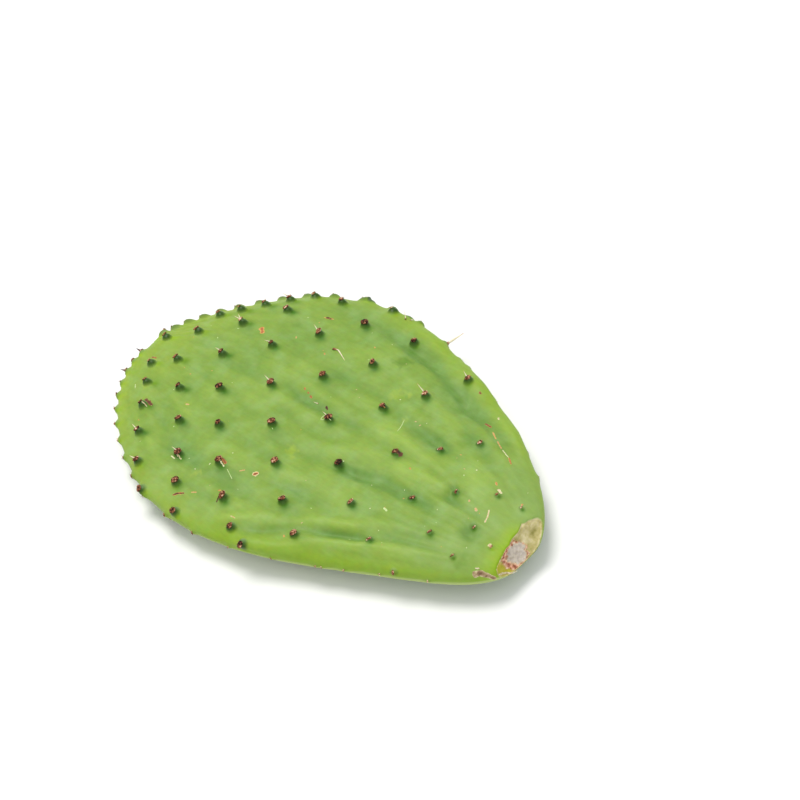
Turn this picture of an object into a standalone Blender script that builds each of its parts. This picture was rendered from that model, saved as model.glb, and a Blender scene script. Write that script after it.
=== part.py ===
"""A prickly pear cactus pad, cut from its plant and lying flat.

Axes: +Y runs from the cut end to the tip, +X across the pad, +Z up. The pad rests on z = 0, with the
origin under the middle of its bounding box. Shapes are laid out from the middle of the bare body's
length, and everything is parented to one empty, which takes that point to its place. Lengths are in
metres unless a name ends in _MM or _DEG.

The pad is one body: a flattened egg whose skin carries small raised tubercles in slanting rows, each
topped by a flat areole, with an oblique cut at the base. The spines and the dried leaf tips are thin
separate pieces seated on the areoles.
"""

import math

import bmesh
import bpy
import numpy as np
from mathutils import Matrix, Vector

MM = 0.001
LAYOUT_PLACE = (-0.0012, -0.0040, 0.0)
RIGHT_EDGE, LEFT_EDGE = 0.0, math.pi  # angles around the pad

# The body, from its cut end (station 0) to its tip (station 1)
BASE_END_Y = -0.1156
TIP_END_Y = 0.1156
AXIS_X = -0.0044
# Half-widths at evenly spaced stations, as a share of the half-width of a circle as long as the pad
FULLNESS_RIGHT = (0.474, 0.556, 0.658, 0.726, 0.464)
FULLNESS_LEFT = (0.482, 0.478, 0.610, 0.654, 0.640)
# Half-thicknesses at the same stations
HALF_THICKNESS = (0.0105, 0.0093, 0.0084, 0.0074, 0.0055)
RIM_POWER = 2.6  # 2 gives an oval section, more gives flatter faces and a blunter rim
END_POWER = 3.2
BODY_SEGMENTS = 40
BODY_RINGS = 32
SKIN_STEP = 0.004  # how far apart, in share and angle, the points that give the skin's slope lie

# The oblique cut that took the pad off its plant
CUT_TOP_Y = -0.1010
CUT_TOP_Z = 0.0205
CUT_SLOPE_DEG = 42.0
CUT_BLOCK_SIZE = 0.08

# Tubercles: small swellings that lean towards the tip and shrink towards the base
TUBERCLE_RADIUS = 0.0048
TUBERCLE_HEIGHT = 0.0030
TUBERCLE_LEAN = 0.0012
TUBERCLE_FOOT = 0.0012  # how far its foot is sunk
AREOLE_RADIUS = 0.0017  # the flat top
SHRINK_FROM_Y = -0.010
SHRINK_TO_Y = -0.105
SMALLEST_TUBERCLE = 0.45
RIM_SHRINK_LEAD = 0.060  # along the rim they shrink this much sooner
TUBERCLE_SEGMENTS = 9

# Rows of areoles, each along a bent line: start, bend and end in mm, how many, and how much each gap
# grows from the one before along the row's own parameter
ROWS_MM = (
    ((-18, 101), (-66, 63), (-73, 47), 6, 1.30),
    ((-10, 91), (-25, 71), (-75, 24), 6, 0.77),
    ((4, 75), (-75, 1), (-70, -14), 7, 1.15),
    ((21, 59), (-75, -32), (-57, -56), 8, 1.10),
    ((39, 46), (-61, -61), (-39, -89), 8, 1.10),
    ((56, 33), (-28, -69), (-25, -93), 7, 1.15),
    ((62, 8), (-8, -74), (-12, -103), 6, 1.00),
    ((56, -30), (-7, -100), (12, -99), 4, 1.30),
    ((-1, 109), (7, 99), (25, 83), 3, 1.00),
    ((24, 98), (35, 90), (59, 69), 5, 0.85),
    ((43, 71), (67, 57), (72, 31), 3, 1.00),
)
# Rim areoles: the first gap from the tip, and how much each next gap grows
RIM_FIRST_GAP = 0.0055
RIM_GAP_GROWTH = 1.10
RIM_END_Y = -0.085
RIM_WALK_STEP = 0.0005  # of the share, small beside every gap

# The pad lies on the areoles of its underside, which its weight presses flat
REST_HEIGHT = 0.0027
FLOOR_BLOCK_SIZE = 0.40

# Spines and leaf tips
GAP = 0.0003
SPINE_RADIUS = 0.00033
SPINE_TIP_RADIUS = 0.00010
SPINE_RISE_DEG = 36.0
SPINE_SIDESTEP = 0.0009
# row, place in the row, length in mm, turn from the tip's direction in degrees (positive to the right);
# spines with unlike turns stand on opposite sides of their areole
SPINES = (
    (2, 0, 2.6, -20),
    (3, 0, 3.0, -48),
    (3, 1, 3.6, 0),
    (4, 2, 3.0, -8),
    (4, 0, 3.4, 12),
    (7, 0, 3.4, 4),
    (6, 1, 5.2, 4),
    (8, 2, 3.2, -30),
    (8, 2, 2.6, 25),
    (9, 3, 3.0, -35),
    (1, 3, 2.6, -10),
    (0, 3, 2.8, 5),
    (0, 4, 2.8, -15),
)
# the long spine of the right edge: where along the pad, length in mm, turn and rise in degrees
RIM_SPINE = (0.002, 9.2, -128, 69)
LOOSE_SPINE_START_MM = (37.0, 33.0)
LOOSE_SPINE_END_MM = (32.6, 23.0)
# leaf tips on the left edge's first rim areoles: length in mm, and how far each curls down in degrees
LEAF_TIPS = ((3.0, -30), (2.4, -65), (2.8, -50))
LEAF_RADIUS = 0.0006

SKIN = ("cactus_skin", (0.29, 0.47, 0.11), 0.55)
SPINE = ("dry_spine", (0.78, 0.66, 0.40), 0.60)
LEAF = ("dried_leaf", (0.10, 0.05, 0.03), 0.85)


def clear_scene():
    for obj in list(bpy.data.objects):
        bpy.data.objects.remove(obj, do_unlink=True)


def new_collection(name, hidden=False):
    collection = bpy.data.collections.new(name)
    bpy.context.scene.collection.children.link(collection)
    collection.hide_render = hidden
    return collection


def material(name, colour, roughness):
    made = bpy.data.materials.get(name)
    if made is None:
        made = bpy.data.materials.new(name)
        made.use_nodes = True
        shader = made.node_tree.nodes["Principled BSDF"]
        shader.inputs["Base Color"].default_value = (*colour, 1.0)
        shader.inputs["Roughness"].default_value = roughness
        shader.inputs["Metallic"].default_value = 0.0
    return made


def add_object(name, mesh, collection, look=None):
    obj = bpy.data.objects.new(name, mesh)
    collection.objects.link(obj)
    if look:
        mesh.materials.append(material(*look))
    return obj


def between(stations, share):
    """A smooth curve through evenly spaced stations, read at a share of the way from 0 to 1."""
    places = np.linspace(0.0, 1.0, len(stations))
    return float(np.polyval(np.polyfit(places, stations, len(stations) - 1), share))


def body_point(share, around):
    """A point of the uncut skin. share runs from base to tip, around is 0 at +X and pi / 2 on top."""
    length = TIP_END_Y - BASE_END_Y
    roundness = math.sqrt(max(share * (1.0 - share), 0.0))
    across, up = math.cos(around), math.sin(around)
    fullness = FULLNESS_RIGHT if across > 0 else FULLNESS_LEFT
    half_width = length * between(fullness, share) * roundness
    full_thickness = between(HALF_THICKNESS, share)
    end = abs(2.0 * share - 1.0) ** END_POWER
    half_thickness = full_thickness * max(1.0 - end, 0.0) ** (1.0 / RIM_POWER)
    x = AXIS_X + math.copysign(abs(across) ** (2.0 / RIM_POWER), across) * half_width
    z = REST_HEIGHT + full_thickness + math.copysign(abs(up) ** (2.0 / RIM_POWER), up) * half_thickness
    return Vector((x, BASE_END_Y + length * share, z))


def skin_place(x, y, side):
    """(share, around) of the skin above (side 1) or below (side -1) a point of the plan."""
    share = min(max((y - BASE_END_Y) / (TIP_END_Y - BASE_END_Y), SKIN_STEP), 1.0 - SKIN_STEP)
    edge = body_point(share, 0.0).x if x > AXIS_X else body_point(share, math.pi).x
    across = min((x - AXIS_X) / (edge - AXIS_X), 1.0) ** (RIM_POWER / 2.0)
    around = math.acos(across)
    if x <= AXIS_X:
        around = math.pi - around
    return share, around * side


def skin_frame(share, around):
    """The skin's point and its outward normal."""
    low, high = max(share - SKIN_STEP, 0.0), min(share + SKIN_STEP, 1.0)
    along = body_point(high, around) - body_point(low, around)
    turn = body_point(share, around + SKIN_STEP) - body_point(share, around - SKIN_STEP)
    return body_point(share, around), turn.cross(along).normalized() * -1.0


def row_places(start, bend, end, count, growth):
    """Plan points in metres along a bent row."""
    for number in range(count):
        if growth == 1.0:
            share = number / (count - 1)
        else:
            share = (1.0 - growth**number) / (1.0 - growth ** (count - 1))
        before_bend = Vector(start).lerp(Vector(bend), share)
        after_bend = Vector(bend).lerp(Vector(end), share)
        yield before_bend.lerp(after_bend, share) * MM


def face_areoles(side):
    """(share, around) of every areole on the top (side 1) or the underside (side -1)."""
    for row in ROWS_MM:
        for place in row_places(*row):
            yield skin_place(place.x * side, place.y, side)


def rim_areoles(edge):
    """(share, around) of the areoles along one edge, with gaps that widen away from the tip."""
    share, gap, travelled = 1.0 - 2.0 * RIM_WALK_STEP, RIM_FIRST_GAP, RIM_FIRST_GAP / 2.0
    previous = body_point(share, edge)
    while previous.y > RIM_END_Y:
        share -= RIM_WALK_STEP
        point = body_point(share, edge)
        travelled += (point - previous).length
        previous = point
        if travelled > gap:
            yield share, edge
            travelled = 0.0
            gap *= RIM_GAP_GROWTH


def tubercle_size(share, around):
    on_rim = around in (RIGHT_EDGE, LEFT_EDGE)
    y = body_point(share, around).y - RIM_SHRINK_LEAD * on_rim
    faded = min(max((SHRINK_FROM_Y - y) / (SHRINK_FROM_Y - SHRINK_TO_Y), 0.0), 1.0)
    return 1.0 - faded * (1.0 - SMALLEST_TUBERCLE)


def standing(normal):
    """A turn that takes +Z to the normal and keeps +Y leaning towards the tip."""
    tipward = Vector((0.0, 1.0, 0.0)) - normal * normal.y
    if tipward.length < 0.2:
        tipward = Vector((1.0, 0.0, 0.0)) - normal * normal.x
    tipward.normalize()
    return Matrix((tipward.cross(normal), tipward, normal)).transposed()


def add_tubercle(bm, share, around):
    """A low flat-topped cone, leaning towards the tip, with its foot sunk in the skin."""
    point, normal = skin_frame(share, around)
    size = tubercle_size(share, around)
    made = bmesh.ops.create_cone(
        bm,
        cap_ends=True,
        segments=TUBERCLE_SEGMENTS,
        radius1=TUBERCLE_RADIUS * size,
        radius2=AREOLE_RADIUS * size,
        depth=(TUBERCLE_HEIGHT + TUBERCLE_FOOT) * size,
    )
    turn = standing(normal)
    for vertex in made["verts"]:
        top = vertex.co.z > 0.0
        vertex.co.y += TUBERCLE_LEAN * size * top
        vertex.co.z = (TUBERCLE_HEIGHT if top else -TUBERCLE_FOOT) * size
        vertex.co = point + turn @ vertex.co


def body_mesh():
    bm = bmesh.new()
    bmesh.ops.create_uvsphere(bm, u_segments=BODY_SEGMENTS, v_segments=BODY_RINGS, radius=1.0)
    for vertex in bm.verts:
        share = (1.0 + vertex.co.z) / 2.0
        vertex.co = body_point(share, math.atan2(vertex.co.y, vertex.co.x))
    bmesh.ops.recalc_face_normals(bm, faces=bm.faces)
    mesh = bpy.data.meshes.new("pad")
    bm.to_mesh(mesh)
    bm.free()
    mesh.shade_smooth()
    return mesh


def tubercle_mesh():
    bm = bmesh.new()
    places = [*face_areoles(1), *face_areoles(-1), *rim_areoles(RIGHT_EDGE), *rim_areoles(LEFT_EDGE)]
    for share, around in places:
        add_tubercle(bm, share, around)
    bmesh.ops.recalc_face_normals(bm, faces=bm.faces)
    mesh = bpy.data.meshes.new("tubercles")
    bm.to_mesh(mesh)
    bm.free()
    return mesh


def cutter_box(name, face_point, turn, size, collection):
    """A cube with its lower face centred on a point and turned with it."""
    bm = bmesh.new()
    bmesh.ops.create_cube(bm, size=size)
    bmesh.ops.translate(bm, vec=(0.0, 0.0, size / 2.0), verts=bm.verts)
    bmesh.ops.transform(bm, matrix=Matrix.Translation(face_point) @ turn.to_4x4(), verts=bm.verts)
    mesh = bpy.data.meshes.new(name)
    bm.to_mesh(mesh)
    bm.free()
    return add_helper(name, mesh, collection)


def add_helper(name, mesh, collection):
    helper = add_object(name, mesh, collection)
    helper.hide_render = True
    helper.display_type = "WIRE"
    return helper


def place_layout(collections):
    """Parents every object to one empty and moves that to the layout's place."""
    layout = bpy.data.objects.new("layout", None)
    bpy.context.scene.collection.objects.link(layout)
    for collection in collections:
        for obj in collection.objects:
            obj.parent = layout
    layout.location = LAYOUT_PLACE


def boolean(obj, operation, other, own_overlaps=False):
    modifier = obj.modifiers.new(other.name, "BOOLEAN")
    modifier.operation = operation
    modifier.solver = "EXACT"
    modifier.use_self = own_overlaps
    modifier.object = other


def make_pad(parts, cutters):
    pad = add_object("pad", body_mesh(), parts, SKIN)
    boolean(pad, "UNION", add_helper("tubercles", tubercle_mesh(), cutters), own_overlaps=True)
    slope = Matrix.Rotation(math.radians(CUT_SLOPE_DEG), 3, "X")
    cut_edge = Vector((AXIS_X, CUT_TOP_Y, CUT_TOP_Z))
    boolean(pad, "DIFFERENCE", cutter_box("cut_end", cut_edge, slope, CUT_BLOCK_SIZE, cutters))
    downward = Matrix.Rotation(math.pi, 3, "X")
    boolean(pad, "DIFFERENCE", cutter_box("floor", Vector(), downward, FLOOR_BLOCK_SIZE, cutters))


def make_thorn(name, points, radii, parts, look):
    """A tapering round needle through the given points."""
    curve = bpy.data.curves.new(name, "CURVE")
    curve.dimensions = "3D"
    curve.bevel_depth = 1.0
    curve.bevel_resolution = 1
    curve.use_fill_caps = True
    spline = curve.splines.new("POLY")
    spline.points.add(len(points) - 1)
    for knot, point, radius in zip(spline.points, points, radii):
        knot.co = (*point, 1.0)
        knot.radius = radius
    return add_object(name, curve, parts, look)


def areole_top(share, around):
    """The middle of an areole and the turn that takes +Z to the skin's normal there."""
    point, normal = skin_frame(share, around)
    turn = standing(normal)
    reach = turn @ Vector((0.0, TUBERCLE_LEAN, TUBERCLE_HEIGHT))
    return point + reach * tubercle_size(share, around), turn


def make_spine(name, place, length_mm, turn_deg, rise_deg, parts):
    """A needle on one areole, set off-centre towards the side that it leans to."""
    seat, turn = areole_top(*place)
    heading = Matrix.Rotation(math.radians(-turn_deg), 3, "Z") @ Vector((0.0, 1.0, 0.0))
    rise = math.radians(rise_deg)
    lift = GAP + SPINE_RADIUS * math.cos(rise)
    start = seat + turn @ (heading * SPINE_SIDESTEP + Vector((0.0, 0.0, lift)))
    reach = turn @ (heading * math.cos(rise) + Vector((0.0, 0.0, math.sin(rise)))) * length_mm * MM
    make_thorn(name, (start, start + reach), (SPINE_RADIUS, SPINE_TIP_RADIUS), parts, SPINE)


def make_spines(parts):
    for number, (row, place, length_mm, turn_deg) in enumerate(SPINES, start=1):
        plan = list(row_places(*ROWS_MM[row]))[place]
        seat = skin_place(plan.x, plan.y, 1)
        make_spine(f"spine_{number:02d}", seat, length_mm, turn_deg, SPINE_RISE_DEG, parts)
    along, length_mm, turn_deg, rise_deg = RIM_SPINE
    nearest = min(rim_areoles(RIGHT_EDGE), key=lambda place: abs(body_point(*place).y - along))
    make_spine("rim_spine", nearest, length_mm, turn_deg, rise_deg, parts)


def make_loose_spine(parts):
    """A spine that has come loose and lies on the skin."""
    ends = []
    for x, y in (LOOSE_SPINE_START_MM, LOOSE_SPINE_END_MM):
        point, normal = skin_frame(*skin_place(x * MM, y * MM, 1))
        ends.append(point + normal * (GAP + SPINE_RADIUS))
    make_thorn("loose_spine", ends, (SPINE_RADIUS, SPINE_TIP_RADIUS), parts, SPINE)


def make_leaf_tips(parts):
    seats = zip(LEAF_TIPS, rim_areoles(LEFT_EDGE))
    for number, ((length_mm, curl_deg), place) in enumerate(seats, start=1):
        seat, turn = areole_top(*place)
        outward = turn @ Vector((0.0, 0.0, 1.0))
        half = length_mm * MM / 2.0
        start = seat + outward * GAP
        middle = start + outward * half
        sideways = outward.cross(Vector((0.0, 0.0, 1.0)))
        end = middle + Matrix.Rotation(math.radians(curl_deg), 3, sideways) @ outward * half
        radii = (LEAF_RADIUS, LEAF_RADIUS, LEAF_RADIUS / 3.0)
        make_thorn(f"leaf_tip_{number}", (start, middle, end), radii, parts, LEAF)


def main():
    clear_scene()
    parts = new_collection("prickly_pear_pad")
    cutters = new_collection("cutters", hidden=True)
    make_pad(parts, cutters)
    make_spines(parts)
    make_loose_spine(parts)
    make_leaf_tips(parts)
    place_layout((parts, cutters))


main()
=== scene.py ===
"""The looks of a prickly pear cactus pad, cut from its plant and lying flat.

The pad's skin is one fine mesh: a sphere placed on the same flattened egg as the part's solid, then
raised in folds, tubercles and lips. Felt cushions, bristles, spines, dried leaf tips, scabs and torn
skin are separate pieces seated on it. Everything is made in the layout's coordinates, whose zero is
the middle of the body's length, and then moved to the part's frame. Lengths are in metres unless a
name ends in _MM.
"""

import functools
import math
import random

import bpy
import numpy as np
from mathutils import Matrix, Vector, noise
from mathutils.bvhtree import BVHTree


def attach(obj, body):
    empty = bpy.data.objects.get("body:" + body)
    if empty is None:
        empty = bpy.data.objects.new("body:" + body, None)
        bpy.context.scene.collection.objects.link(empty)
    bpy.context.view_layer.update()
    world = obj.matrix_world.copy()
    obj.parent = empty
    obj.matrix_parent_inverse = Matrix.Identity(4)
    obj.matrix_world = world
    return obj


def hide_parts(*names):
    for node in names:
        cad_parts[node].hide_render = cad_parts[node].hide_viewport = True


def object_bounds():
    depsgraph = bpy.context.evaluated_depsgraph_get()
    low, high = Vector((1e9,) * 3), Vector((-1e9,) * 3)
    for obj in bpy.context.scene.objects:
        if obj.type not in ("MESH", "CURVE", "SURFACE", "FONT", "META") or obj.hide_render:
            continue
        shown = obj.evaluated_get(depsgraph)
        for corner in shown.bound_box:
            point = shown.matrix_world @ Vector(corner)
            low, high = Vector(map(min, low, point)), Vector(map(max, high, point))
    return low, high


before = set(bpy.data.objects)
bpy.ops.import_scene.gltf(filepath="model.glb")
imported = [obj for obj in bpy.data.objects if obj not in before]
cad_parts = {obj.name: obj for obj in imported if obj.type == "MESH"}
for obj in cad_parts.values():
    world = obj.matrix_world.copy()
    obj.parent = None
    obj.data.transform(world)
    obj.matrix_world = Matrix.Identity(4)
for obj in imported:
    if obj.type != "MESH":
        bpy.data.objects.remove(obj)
cad_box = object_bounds()

MM = 0.001
UP = Vector((0.0, 0.0, 1.0))

# --- The body, as in the part ---
LAYOUT_PLACE = (-0.0012, -0.0040, 0.0)
RIGHT_EDGE, LEFT_EDGE = 0.0, math.pi
BASE_END_Y, TIP_END_Y = -0.1156, 0.1156
LENGTH = TIP_END_Y - BASE_END_Y
AXIS_X = -0.0044
MID_HEIGHT = 0.012
FULLNESS_RIGHT = (0.474, 0.556, 0.658, 0.726, 0.464)
FULLNESS_LEFT = (0.482, 0.478, 0.610, 0.654, 0.640)
HALF_THICKNESS = (0.0105, 0.0093, 0.0084, 0.0074, 0.0055)
RIM_POWER, END_POWER = 2.6, 3.2
REST_HEIGHT = 0.0027
# Rows of areoles: start, the point the row bends towards, end, how many, and how much the gaps grow
ROWS_MM = (
    ((-18, 101), (-66, 63), (-73, 47), 6, 1.30),
    ((-10, 91), (-25, 71), (-75, 24), 6, 0.77),
    ((4, 75), (-75, 1), (-70, -14), 7, 1.15),
    ((21, 59), (-75, -32), (-57, -56), 8, 1.10),
    ((39, 46), (-61, -61), (-39, -89), 8, 1.10),
    ((56, 33), (-28, -69), (-25, -93), 7, 1.15),
    ((62, 8), (-8, -74), (-12, -103), 6, 1.00),
    ((56, -30), (-7, -100), (12, -99), 4, 1.30),
    ((-1, 109), (7, 99), (25, 83), 3, 1.00),
    ((24, 98), (35, 90), (59, 69), 5, 0.85),
    ((43, 71), (67, 57), (72, 31), 3, 1.00),
)
RIM_FIRST_GAP, RIM_GAP_GROWTH = 0.0055, 1.10
RIM_END_Y = -0.085
RIM_WALK_STEP = 0.0005
SHRINK_FROM_Y, SHRINK_TO_Y = -0.010, -0.105
SMALLEST_TUBERCLE = 0.45
RIM_SHRINK_LEAD = 0.060
SKIN_STEP = 0.004
POLE_SHARE = 0.0005  # of the length, at each end, where the skin's direction is simply outwards
STEEPEST = 0.2  # how little of tipward may lie in the skin before sideways takes its place

# --- The skin's mesh ---
SKIN_SEGMENTS, SKIN_RINGS = 256, 220
TOP_SHARE = 0.61  # of the segments, on the upper face
SCAR_SHARE = 17 / SKIN_RINGS  # of the rings, on the cut face
FINE_REACH = 0.0045  # faces this near an areole are halved once more
TABLE_STEPS, TABLE_SHARE = 721, 0.55  # and where along the body its girth is stepped off

# --- The cut face: its edge as (degrees around, share of the length), and the plane it lies near ---
CUT_OUTLINE = (
    (-180, 0.0168), (-150, 0.0106), (-120, 0.0104), (-30, 0.0104), (-4, 0.0115), (4, 0.0200),
    (18, 0.0310), (40, 0.0400), (56, 0.0445), (64, 0.0460), (71, 0.0495), (75, 0.0450), (80, 0.0415),
    (88, 0.0405), (92, 0.0350), (97, 0.0345), (106, 0.0301), (138, 0.0231), (160, 0.0190),
    (180, 0.0168),
)
CUT_RAGGED_SHARE, CUT_RAGGED_FROM, CUT_TEETH = 0.0010, 0.0125, 9.0
CUT_GLOW_MM = 6.0  # how far the skin beside the cut's left edge is yellowed
CUT_GLOW_SIDE = (62.0, 88.0)  # degrees around
CUT_ORIGIN = np.array((AXIS_X, -0.1060, 0.0189))
CUT_SLOPE = math.radians(52.5)
CUT_AXES = np.array((  # across, down the slope and out of the face
    (1.0, 0.0, 0.0),
    (0.0, -math.cos(CUT_SLOPE), -math.sin(CUT_SLOPE)),
    (0.0, -math.sin(CUT_SLOPE), math.cos(CUT_SLOPE)),
))
CUT_MIDDLE_MM = (1.5, 6.6)
LIP_MM, DISH_MM = 0.45, 0.9
# Of the way from the cut's edge to its middle: where the lip, the dish, the flesh's grain and its
# colour are full, and where its pale edge fades
LIP_REACH, DISH_REACH, GRAIN_REACH, FLESH_REACH = 0.06, 0.5, 0.1, 0.05
PALE_EDGE = (0.02, 0.10)
CUT_FLATNESS = 5  # how fast the skin's own height is lost from the cut's edge inwards
PITH_MM, PITH_HALF_MM = (0.4, 6.8), (5.9, 4.6)
PITH_TURN = math.radians(8.0)
PITH_EDGE = (0.78, 0.92)
PITH_CORE = 0.1  # of its radius, within which the sides aren't told apart
PITH_RISE_MM, RING_RISE_MM, RING_GRAIN_MM, FLESH_GRAIN_MM = 0.55, 0.30, 0.5, 0.25
RING_WIDTHS = (0.92, 1.40)  # as shares of the pith's radius, on the right and on the left
RING_SIDES = (-0.7, 0.5)
RING_FADE = 0.12
SCAR_GRAINS = ((0.35, 3.0), (1.1, 9.0))  # lumps per millimetre, and where in the noise they are read
SCAR_WAVER = 0.22
LOW_FLESH_WAY = (-0.63, 0.78)  # across and down the slope, towards the olive corner of the flesh
LOW_FLESH_MM = (8.0, 10.4)

# --- Tubercles: knob radius and height, swell height, and how far the swell reaches sideways, to the
# tip and to the base ---
FACE_TUBERCLE_MM = (2.30, 2.1, 1.2, 5.2, 4.2, 11.0)
RIGHT_TUBERCLE_MM = (2.8, 1.2, 1.5, 4.6, 3.0, 8.0)  # on the face, where it turns over at the right
RIGHT_TURN = (0.22, 0.55)  # of the skin's outward direction, across the pad
RIM_TUBERCLE_MM = (2.7, 2.0, 1.2, 4.2, 2.6, 6.0)
RIM_SIZE_RIGHT = 1.13
RIM_SIZE_LEFT = (0.60, 0.78)  # up to the first of these heights on the pad, and from the second
RIM_CHANGE_Y = (0.070, 0.110)
KNOB_POWER = 1.5  # how fast a knob's height falls with its size
KNOB_STRETCH = (1.05, 0.95)  # towards the base and the tip
KNOB_DOME, KNOB_SKIRT = 0.85, 0.95  # share of the dome, and radius of the skirt that the rest is
KNOB_LEAN = 0.22  # tipward, for each millimetre of height
KNOB_EDGE = (0.75, 1.20)  # of its radius, where the knob's colour fades
KNOB_SIZES = (0.3, 0.95)  # from no colour to all of it
# The knobs' painted light: painted shade on one side of each knob and a painted grey-blue sheen on the
# other, which also grows towards the tip.
KNOB_LIGHT_TIPWARD = 0.4  # how much a knob also lightens towards the tip, not only sideways
RIM_KNOB_SHARE = 0.6  # of the knobs' colour, on the rim
# The middle of the painted shadow beside a tubercle, sideways and tipward: on most of the pad, where it is
# deep green, and at its tip, where it is a painted yellow-green glow of light through the flesh
PAINTED_SHADOW_BESIDE_MM = ((-1.2, -2.3), (1.6, -3.2))
PAINTED_GLOW_TIP_Y = (0.040, 0.095)
PAINTED_SHADOW_RADIUS_MM = 2.4

# --- Folds of the upper face: share of the way from the axis to the edge (negative to the left) where
# the fold starts and ends, y where it starts and ends, half-width and height ---
FOLDS_MM = (
    (0.96, 0.97, 26, -92, 4.2, 1.8),
    (0.84, 0.78, 34, -64, 4.6, -2.6),
    (-0.12, 0.15, 8, -76, 4.5, 1.2),
    (-0.18, -0.13, -10, -72, 3.3, -2.1),
    (-0.97, -0.46, 22, -76, 3.4, 1.2),
    (-0.92, -0.62, 4, -90, 2.5, -1.05),
    (-1.05, -0.69, 10, -100, 4.0, 1.6),
    (-0.69, -0.66, 74, -6, 5.0, -0.9),
    (-0.52, -0.34, 60, -45, 4.5, 0.9),
    (-0.62, -0.41, 32, -32, 3.8, -0.8),
    (0.16, 0.30, 4, -70, 4.0, 0.9),
    (0.36, 0.34, -4, -66, 4.2, -1.4),
    (0.17, 0.10, 42, -6, 3.5, -0.8),
    (0.50, 0.06, -58, -106, 5.0, 0.9),
    (0.62, 0.55, 10, -60, 4.5, 0.6),
)
# How each fold's line waves: share, wavelength / (2 pi) in millimetres, how it turns from fold to fold
FOLD_WAVES = ((0.014, 9.5, 2.3), (0.007, 3.9, 4.1))
FOLD_SWELL, FOLD_SWELL_MM, FOLD_SWELL_TURN = 0.35, 6.5, 1.9
FOLD_STARTS, FOLD_ENDS = (0.0, 0.30), (0.70, 1.0)
UPPER_FACE = (0.15, 0.75)  # of the skin's outward direction, upwards
NARROWEST = 0.004  # half-width that shares across are taken of, at the pad's ends
# Dents: x, y, radius, depth
DENTS_MM = (
    (-11.0, -91.0, 4.2, 3.0), (-2.5, -73.5, 4.0, 0.8), (24.0, -56.0, 7.0, 0.7),
    (0.2, -70.5, 2.6, 1.6), (3.4, -69.0, 2.2, 1.3),
)
STREAK_HEIGHT_MM, STREAK_LENGTH_MM, STREAKS_ACROSS = 0.95, 42.0, 11.5
LUMP_HEIGHT_MM, LUMP_SIZE_MM = 0.35, 10.0
STREAKS_Y = ((-0.106, -0.070), (0.085, 0.110))
STREAKS_RIM = (0.82, 1.0)
STREAKS_FADE = 0.8
UNDER_NOISE = 5.0  # where in the noise the underside's streaks are read

# --- Colour patches on the skin: x, y, radius ---
YELLOW_PATCHES_MM = (
    (-21.5, 4.3, 3.4), (-25.0, 1.0, 1.8), (30.7, -9.8, 4.0), (34.0, -14.5, 2.2), (21.0, -24.0, 2.2),
    (0.5, 3.5, 2.6), (-28.0, 65.6, 1.8), (-30.0, 92.0, 3.0), (53.0, -52.0, 1.6), (-55.0, 31.0, 2.6),
)
DEEP_GREEN_PATCHES_MM = ((-14.0, -103.0, 8.0), (-24.0, -99.0, 6.0), (48.0, 2.0, 5.0))
YELLOW_PATCH, DEEP_GREEN_PATCH = 0.8, 0.45
PATCH_CORE, PATCH_RAGGED, PATCH_GRAIN = 0.4, 0.7, 0.45  # as shares of a patch's radius
YELLOW_TIP, YELLOW_TIP_Y = 0.55, (0.070, 0.112)
YELLOW_RIM, YELLOW_RIM_FROM = 0.40, (0.78, 0.98)
# Painted shade on the outer flank of the rolled rim, which is given a deeper, darker green.
FLANK_SHADE_REACH = (0.84, 1.0)  # of the way to the rim, where the roll turns a deeper green
FLANK_SHADE = (0.65, 0.60)  # on the left and on the right
FLANK_SHADE_END_Y = (-0.010, 0.040)
BLOOM, BLOOM_Y = 0.40, (-0.112, -0.060)  # the dusty wax at the base end
# A painted pale line of light bounced from the floor, on the underside of the left rim.
BOUNCE_LINE_TURN = 0.30  # half-width in radians of the pale line on the underside of the left rim
BOUNCE_LINE_EDGE, BOUNCE_LINE_END_Y = (0.6, 1.1), (0.0, 0.05)

# --- Felt, bristles, spines ---
CUSHION_RADIUS_MM, CUSHION_HEIGHT_MM = 1.7, 0.7
FELT_LEAN = (0.05, 1.0)  # in the middle of the pad, and near its tip and its right edge
FELT_LEAN_Y = (0.035, 0.100)
FELT_LEAN_SIDE = (0.20, 0.45)  # of the skin's outward direction, across the pad
FELT_TURNED_LEAN, FELT_TURNED_LOSS = 0.6, 0.4
FELT_SIZE_TILTED = 0.72
FELT_HUG = 1.5  # how much more a cushion follows the knob's own surface than its lean
FELT_CLUMPS_MM = ((0.9, 0.30), (0.4, 0.18))  # size and height
FELT_SEED = 1  # noise_vector starts from the clock unless it is seeded
RIM_FELT_LEAN, RIM_FELT_SIZE = 1.1, 0.7
KNOB_MIDDLE = (0.4, 0.6)  # of a knob's height, outward and along its lean, where cushions are aimed
# Spans of chance for each cushion's turn in radians, its width, height, narrowness and stretch
CUSHION_SPANS = ((-0.5, 0.5), (0.8, 1.12), (0.7, 1.25), (0.7, 0.95), (1.0, 1.2))
CUSHION_POWER = 0.6  # how fast a cushion narrows with its size
CAST_FROM, DROP_FROM = 0.008, 0.03  # how far off the skin is looked for
BRISTLES_PER_AREOLE, BRISTLE_MM, BRISTLE_RADIUS_MM = 13, (0.5, 1.5), 0.09
BRISTLE_SPREAD, BRISTLE_LEAN = (0.2, 0.9), (0.1, 0.9)
BRISTLE_OVAL, BRISTLE_POINT = 0.8, 0.15
NEEDLE_SIDES, NEEDLE_RINGS, NEEDLE_POINT_SHARE = 10, 11, 0.12
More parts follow.
